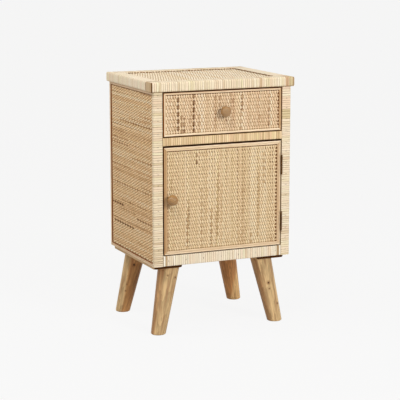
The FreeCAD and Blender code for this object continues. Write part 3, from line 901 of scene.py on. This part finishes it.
def woven_panel(name, node, body, lay, width, lean, finish, spread, seed, edge_gaps, short, partings=(),
                dark=(), pale_from=inf):
    """A woven sheet, laid flat with its strands along Y and then turned into its place.
    The tones of neighbouring strands drift by the spread. Strands end short by two lengths in turn.
    A parting is a gap's place across the strands, its width, and its start and stop along them.
    A dark strand has its place, start, stop and tone. Strands beyond a place are painted paler, as light on
    that part of the sheet."""
    rng = random.Random(seed)
    (across, along, out), corner, angle, axis = lay
    low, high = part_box(node)
    breadth, length = high[across] - low[across], high[along] - low[along]
    stakes = round(length / stake_pitch)
    pitch = length / stakes
    room = breadth - sum(edge_gaps)
    shares = [1 + rng.uniform(-strand_looseness, strand_looseness) for _ in range(round(room / width))]
    unit = room / sum(shares)
    models = [[woven_strand(width, pitch, length, factor * lean, under, short[under])
               for factor in strand_leans] for under in (False, True)]
    strands = []
    at, drift = edge_gaps[0], 0.0
    for index, share in enumerate(shares):
        strand = copy_of(rng.choice(models[index % 2]))
        strand.location = (at + share * unit / 2, rng.uniform(0, strand_slip), 0)
        strand.rotation_euler = (0, 0, rng.gauss(0, strand_tilt))
        strand.scale = (share * unit / width, 1 - strand_slip / length, 1)
        drift = strand_drift * drift + rng.gauss(0, spread)
        rise = pale_rise * held((at - pale_from) / pale_run)
        mark(strand, tone=held(strand_tone + drift + rise, darkest_strand),
             hue=held(rng.gauss(middle_hue, strand_hue_spread)))
        strands.append(strand)
        at += share * unit
    for line in partings:
        part_strands(strands, *(value * mm for value in line))
    for strand in strands:
        if rng.random() < brown_share:
            start = rng.uniform(*brown_starts) * length
            darken(strand, start, start + rng.uniform(*brown_lengths) * length, rng.uniform(*brown_tones))
    for at, start, stop, tone in dark:
        strand = min(strands, key=lambda item: abs(item.location.x - at * mm))
        darken(strand, start * mm, stop * mm, tone)
    stake = woven_stake(breadth)
    for index in range(stakes):
        copy = copy_of(stake)
        copy.location = (0, (index + 0.5) * pitch, 0)
        strands.append(copy)
    half = (high[out] - low[out]) / 2
    # A thin sheet painted dark as the shade behind the strands
    shade_sheet = block("shade_sheet", (0, 0, -half), (breadth, length, shade_sheet_thickness - half))
    for piece in strands:
        set_finish(piece, finish)
    set_finish(shade_sheet, hollow_shade)
    panel = joined(name, strands + [shade_sheet])
    remove(stake, *models[0], *models[1])
    place = Vector([(low, (low + high) / 2, high)[at + 1][index] for index, at in enumerate(corner)])
    panel.matrix_world = Matrix.Translation(place) @ Matrix.Rotation(radians(angle), 4, axis)
    bpy.ops.object.transform_apply()
    hand_over(panel, body, "woven_rattan", node)


def woven_panels():
    """The five woven sheets. A lay gives a sheet's axes across its strands, along them and outwards, the
    corner of its node's box where it starts, and its turn. Partings and dark strands are in millimetres."""
    front_lay = ((X, Z, Y), (-1, 0, -1), 90, "X")
    top_lay = ((X, Y, Z), (-1, -1, 0), 0, "X")
    left_lay = ((Z, Y, X), (0, -1, -1), -90, "Y")
    right_lay = ((Z, Y, X), (0, -1, 1), 90, "Y")
    door_partings = [(54, 0.7, 1, 93), (112, 0.7, 1, 64), (202, 0.6, 15, 88)]
    door_dark = [(74, 195, 235, 0.03), (111, 0, 93, 0.22), (52, 0, 93, 0.22), (215, 0, 35, 0.22)]
    drawer_partings = [(154.5, 1.2, 18, 36), (193.5, 0.8, 45, 89)]
    drawer_dark = [(32, 0, 91, 0.0), (46, 0, 38, 0.1), (70, 0, 91, 0.0), (195, 45, 91, 0.2),
                   (125, 0, 91, 0.24), (264, 0, 91, 0.24)]
    side_partings = [(30, 0.9, 20, 110), (355, 0.8, 20, 120)]
    side_dark = [(61, 115, 250, 0.0), (106, 190, 260, 0.0), (86, 0, 100, 0.14), (312, 0, 210, 0.17),
                 (257, 145, 260, 0.19), (160, 0, 260, 0.2)]
    side_width, side_lean, side_spread, side_short = 3.26 * mm, 0.24 * mm, 0.09, (1.5 * mm, 6 * mm)
    woven_panel("woven_door", "door_woven_panel", "door", front_lay, 3.04 * mm, 0.23 * mm, door_weave,
                0.065, 51, (0.3 * mm, 3.3 * mm), (0.6 * mm, 1.7 * mm), door_partings, door_dark)
    woven_panel("woven_drawer", "drawer_woven_panel", "drawer", front_lay, 3.15 * mm, 0.22 * mm,
                drawer_weave, 0.08, 52, (0.3 * mm, 2.9 * mm), (0.8 * mm, 2.0 * mm),
                drawer_partings, drawer_dark)
    woven_panel("woven_top", "top_woven_panel", "cabinet", top_lay, 3.18 * mm, 0.3 * mm, top_weave,
                0.12, 53, (1 * mm, 1 * mm), (0.4 * mm, 1.6 * mm))
    # The left side's strands above 273 mm are painted paler, as light on the upper part of that side
    woven_panel("woven_left_side", "left_woven_panel", "cabinet", left_lay, side_width, side_lean,
                side_weave, side_spread, 54, (2.6 * mm, 2.0 * mm), side_short,
                side_partings, side_dark, 273 * mm)
    woven_panel("woven_right_side", "right_woven_panel", "cabinet", right_lay, side_width, side_lean,
                side_weave, side_spread, 55, (2.0 * mm, 2.6 * mm), side_short, side_partings)


def tucked_ends():
    """Ends of strands, turned up along the inner edges of the top's rails, dark as end grain and as painted
    shade in the seam.
    """
    rng = random.Random(71)
    low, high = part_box("top_woven_panel")
    model = block("tuck", (-tuck_length / 2, 0, 0), (tuck_length / 2, tuck_thickness, tuck_height))
    with shaping(model):
        choose_edges(None, lambda co: co.z > 0)
        bevel(tuck_round, 2)
    places = ((low.x, high.y), (high.x, high.y), (high.x, low.y), (low.x, low.y))
    back_left, back_right, front_right, front_left = [Vector((*place, 0)) for place in places]
    ends = []
    for start, stop, turn in ((back_left, back_right, pi), (front_right, front_left, 0),
                              (back_right, front_right, pi / 2), (front_left, back_left, -pi / 2)):
        count = round((stop - start).length / tuck_pitch)
        for index in range(count):
            end = copy_of(model)
            share = (index + 0.5 + rng.uniform(-tuck_scatter, tuck_scatter)) / count
            end.location = start.lerp(stop, share)
            end.location.z = high.z - tuck_sink
            end.rotation_euler = (0, 0, turn)
            end.scale = (rng.uniform(*tuck_length_factors), 1, rng.uniform(*tuck_height_factors))
            set_finish(end, tuck_end_and_shade)
            ends.append(end)
    remove(model)
    hand_over(joined("tucked_strand_ends", ends), "cabinet", "woven_rattan")


def reed(low, high, axis, out, face, tone, shaded_side=None, edge=gap_shade):
    """A thin bar with rounded face edges. Its face lies at the given place along the outward axis.
    The side that looks in the shaded_side direction is painted in shade."""
    bar = block("reed", low, high)
    set_finish(bar, reed_woods[axis], edge)
    with shaping(bar):
        choose_edges(axis, lambda co: abs(co[out] - face) < tiny)
        bevel(reed_round, reed_steps)
        if shaded_side:
            choose("FACE", lambda part: part.normal.dot(Vector(shaded_side)) > shaded_side_facing)
            bar.active_material_index = 1
            bpy.ops.object.material_slot_assign()
    mark(bar, tone=tone)
    return bar


def front_bead(name, node, body, edge, *tones):
    """Mitred reeds in rings round a woven front, with painted shade on the outside of the outer ring, which
    looks into the gap.
    The tones are those of the left, right, bottom and top bars of each ring."""
    low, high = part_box(node)
    width = (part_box(node.replace("_beads", "_woven_panel"))[0].x - low.x) / len(tones)
    bars = []
    for ring, ring_tones in enumerate(tones):
        corner, far = low.copy(), high.copy()
        for axis in (X, Z):
            corner[axis] += ring * width
            far[axis] -= ring * width
        thick = width - reed_gap
        for axis, across in ((X, Z), (Z, X)):
            for at_far in (False, True):
                bar_low, bar_high = corner.copy(), far.copy()
                if at_far:
                    bar_low[across] = far[across] - thick
                else:
                    bar_high[across] = corner[across] + thick
                inward = Vector()
                inward[across] = -1 if at_far else 1
                bar = reed(bar_low, bar_high, axis, Y, low.y, ring_tones[2 * (across == Z) + at_far],
                           -inward if ring == 0 else None, edge)
                with shaping(bar):
                    for end, step in ((corner, -1), (far, 1)):
                        place = (far if at_far else corner).copy()
                        place[axis] = end[axis]
                        outward = inward.copy()
                        outward[axis] = step
                        trim(place, outward)
                bars.append(bar)
    hand_over(joined(name, bars), body, "bead_wood", node)


def side_beads(place, side):
    """Reeds along the top, the bottom and the rear edge of a side, with painted shade where they meet the
    weave.
    """
    node = place + "_side_beads"
    low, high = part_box(node)
    weave_low, weave_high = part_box(place + "_woven_panel")
    face = low.x if side < 0 else high.x
    bars = []

    def row(bar_low, bar_high, axis, across, tones, shaded_side):
        step = (bar_high[across] - bar_low[across]) / len(tones)
        for index, tone in enumerate(tones):
            start, stop = Vector(bar_low), Vector(bar_high)
            start[across] = bar_low[across] + index * step
            stop[across] = start[across] + step - reed_gap
            beside = index == (len(tones) - 1 if sum(shaded_side) > 0 else 0)
            bars.append(reed(start, stop, axis, X, face, tone, shaded_side if beside else None))

    row(low, (high.x, weave_high.y, weave_low.z), Y, Z, (0.55, 0.5), (0, 0, 1))
    row((low.x, low.y, weave_high.z), (high.x, weave_high.y, high.z), Y, Z, (0.5,), (0, 0, -1))
    row((low.x, weave_high.y, low.z), high, Z, Y, (0.65, 0.8), (0, -1, 0))
    hand_over(joined("%s_side_reeds" % place, bars), "cabinet", "bead_wood", node)


def staple():
    """A wire staple along X, with its crown at the origin and its legs driven in along Y."""
    half, wire = staple_width / 2, staple_wire / 2
    piece = block("staple", (-half, -wire, -wire), (half, wire, wire))
    with shaping(piece):
        for at in (staple_wire - half, half - staple_wire):
            cut((at, 0, 0), (1, 0, 0))
        pull_back(staple_leg, lambda x: abs(x) > half - staple_wire)
        choose_edges(None, lambda co: co.y < 0)
        bevel(staple_round, 2)
    return piece


def staples():
    """Staples down the middle of the stiles and along the bottom rail."""
    rng = random.Random(61)
    model = staple()
    wires = []

    def row(low, high, axis, first, pitch, angle):
        count = int((high[axis] - low[axis] - first) / pitch) + 1
        for index in range(count):
            at = (Vector(low) + Vector(high)) / 2
            at[axis] = high[axis] - first - (index + rng.uniform(-staple_scatter, staple_scatter)) * pitch
            at.y = low.y
            wire = copy_of(model)
            wire.location = at
            wire.rotation_euler = (0, radians(angle) + rng.gauss(0, staple_turn), 0)
            set_finish(wire, staple_steel)
            wires.append(wire)

    row(*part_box("front_left_stile"), Z, 7 * mm, 30 * mm, 0)
    row(*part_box("front_right_stile"), Z, 27 * mm, 26 * mm, 0)
    row(*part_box("bottom_rail"), X, 16 * mm, 46 * mm, 90)
    remove(model)
    hand_over(joined("peel_staples", wires), "cabinet", "zinc_steel")


def knob_wood(node, *colours):
    """Lacquered wood of a turned knob, with painted shade at its neck."""
    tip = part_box(node)[0].y
    return wood(node + "_wood", Y, colours, 0.32, 300.0, (0.0, 0.0, 0.0), 0.006,
                shaded_neck=(tip + 16 * mm, tip + 21 * mm), gloss=0.0, lacquer=1.0)


def cad_finishes():
    """Finishes of the CAD nodes that stay."""
    # The rear right leg's chestnut and honey are painted lighter than the other legs' colours, as light
    # where the body shades it
    brown, tan, chestnut = (180, 133, 84), (183, 143, 99), (212, 154, 99)
    pale, straw, honey = (208, 176, 129), (212, 180, 132), (238, 195, 136)
    left, right, rear = (-0.914, 0.407, 0.0), (0.914, -0.407, 0.0), (-0.7, 0.3, 0.25)
    batten_colours = ((176, 136, 92), (212, 178, 132), (226, 196, 152))
    finishes = (
        (plywood("ply_flat", X, Z), "top_board", "floor_board", "divider_shelf", "drawer_bottom"),
        (plywood("ply_upright", Z, Y), "back_board"),
        (plywood("ply_side", Z, X), "left_side_board", "right_side_board"),
        # The door and drawer boards' edges are painted dark as the shade in their gaps
        (plywood("ply_front", Z, Y, tint(64, 32, 6)), "door_board", "drawer_front_board"),
        (plain_woods[X], "drawer_back"),
        (plain_woods[Y], "left_drawer_runner", "right_drawer_runner", "drawer_left_side",
         "drawer_right_side"),
        (plain_woods[Z], "rear_left_post", "rear_right_post"),
        (knob_wood("drawer_knob", (108, 72, 38), (166, 128, 82), (188, 149, 103)), "drawer_knob"),
        (knob_wood("door_knob", (98, 62, 30), (156, 113, 64), (175, 133, 80)), "door_knob"),
        # The battens' dark ends are end grain and painted shade under the body
        (wood("batten_wood", Y, batten_colours, 0.5, ends=tint(88, 50, 16), gloss=0.1),
         "left_leg_batten", "right_leg_batten"),
        (bronze, "upper_hinge_frame_leaf", "lower_hinge_frame_leaf", "upper_hinge_door_leaf",
         "lower_hinge_door_leaf", "hinge_pins", "cabinet_screws", "door_screws"),
        (zinc, "leg_bolts", "leg_tee_nuts", "batten_screws", "catch_strike", "drawer_knob_screw",
         "door_knob_screw"),
        (moulded("catch_plastic", (96, 66, 42), (120, 86, 58), 0.45, 0.5), "catch_housing"),
        (moulded("ferrite", (40, 40, 42), (58, 58, 60), 0.6, 0.5), "catch_magnet"),
    )
    for material, *names in finishes:
        for name in names:
            set_finish(nodes[name], material)
    for node, *look in (("front_left_leg", (-0.016, -0.034, 0.0), 0.03, left, 0.011, tan, pale),
                        ("front_right_leg", (-0.02, -0.03, 0.3), 0.025, left, 0.011, tan, straw),
                        ("rear_left_leg", (-0.03, -0.02, 0.6), 0.02, right, -0.005, brown, straw),
                        ("rear_right_leg", (-0.02, -0.03, 0.9), 0.03, rear, 0.006, chestnut, honey)):
        set_finish(nodes[node], leg_wood(node, *look))


# Camera at the photo's angle, and the studio round the table
camera_place = (-1.422325, -3.175362, 0.941643)
camera_yaw = radians(24.107)
camera_pitch = radians(10.548)
camera_lens = 130.751
camera_sensor = 36
paper_white = (0.922, 0.922, 0.922, 1)
floor_size = 90
floor_colour = (0.6, 0.6, 0.6, 1)
shadow_share = 0.08
floor_glow = 1.055
sky_colour = (1.0, 0.94, 0.86, 1)
sky_strength = 0.4
lamp_target = Vector((0, 0, 0.35))


def backdrop(owner, output, lit, lit_inputs, glow, strength, share):
    """Shades the floor or the world. The camera and reflections see a share of it as even pale paper."""
    start_tree(owner)
    path = add("LightPath").outputs
    seen = calc("MAXIMUM", path["Is Camera Ray"], path["Is Glossy Ray"])
    seen = calc("MULTIPLY", calc("MAXIMUM", seen, path["Is Transmission Ray"]), share)
    plain = add(lit, lit_inputs).outputs[0]
    paper = add(glow, {"Color": paper_white, "Strength": strength}).outputs[0]
    add(output, {"Surface": add("MixShader", {0: seen, 1: plain, 2: paper}).outputs[0]})


def studio_floor():
    bpy.ops.mesh.primitive_plane_add(size=floor_size)
    floor = bpy.context.object
    floor.name = "studio_floor"
    material = bpy.data.materials.new("pale_floor")
    backdrop(material, "OutputMaterial", "BsdfDiffuse", {"Color": floor_colour}, "Emission", floor_glow,
             1 - shadow_share)
    set_finish(floor, material)


def studio_world():
    world = bpy.data.worlds.new("studio")
    bpy.context.scene.world = world
    sky = {"Color": sky_colour, "Strength": sky_strength}
    backdrop(world, "OutputWorld", "Background", sky, "Background", 1.0, 1.0)


def softbox(name, place, size, power):
    """A square area lamp that looks at the middle of the table."""
    lamp = bpy.data.lights.new(name, "AREA")
    lamp.size = size
    lamp.energy = power
    holder = put(bpy.data.objects.new(name, lamp))
    holder.location = place
    holder.rotation_euler = (lamp_target - Vector(place)).to_track_quat("-Z", "Y").to_euler()


def photo_camera():
    data = bpy.data.cameras.new("camera")
    data.lens = camera_lens
    data.sensor_width = camera_sensor
    camera = put(bpy.data.objects.new("camera", data))
    camera.location = camera_place
    camera.rotation_euler = (pi / 2 - camera_pitch, 0, -camera_yaw)
    bpy.context.scene.camera = camera


wound_top_rail("front", X, -1, 11, 0.5)
wound_top_rail("back", X, 1, 12, 0.5)
wound_top_rail("left", Y, -1, 21, 0.6)
wound_top_rail("right", Y, 1, 22, 0.6)
wound_stile("left", -1, 31, 0.46)
wound_stile("right", 1, 32, 0.53, right_stile_spots)
wound_cross_rail("mid_rail", 41, 0.36, mid_rail_wrap, True)
wound_cross_rail("bottom_rail", 42, 0.62, wraps[X], False, bottom_rail_ends)
woven_panels()
tucked_ends()
front_bead("door_reeds", "door_beads", "door", door_gap_shade, (0.25, 0.65, 0.75, 0.95), (0.36, 0.5, 0.66, 0.7))
front_bead("drawer_reeds", "drawer_beads", "drawer", drawer_gap_shade, (0.76, 0.34, 1.0, 0.74))
side_beads("left", -1)
side_beads("right", 1)
staples()
cad_finishes()
studio_floor()
studio_world()
softbox("key", (0.9, -3.0, 1.75), 0.7, 52)
softbox("overhead", (-1.1, -1.4, 2.55), 0.6, 18)
softbox("left_fill", (-1.6, 0.1, 1.7), 1.0, 10.5)
photo_camera()
bpy.context.scene.view_settings.view_transform = "Standard"
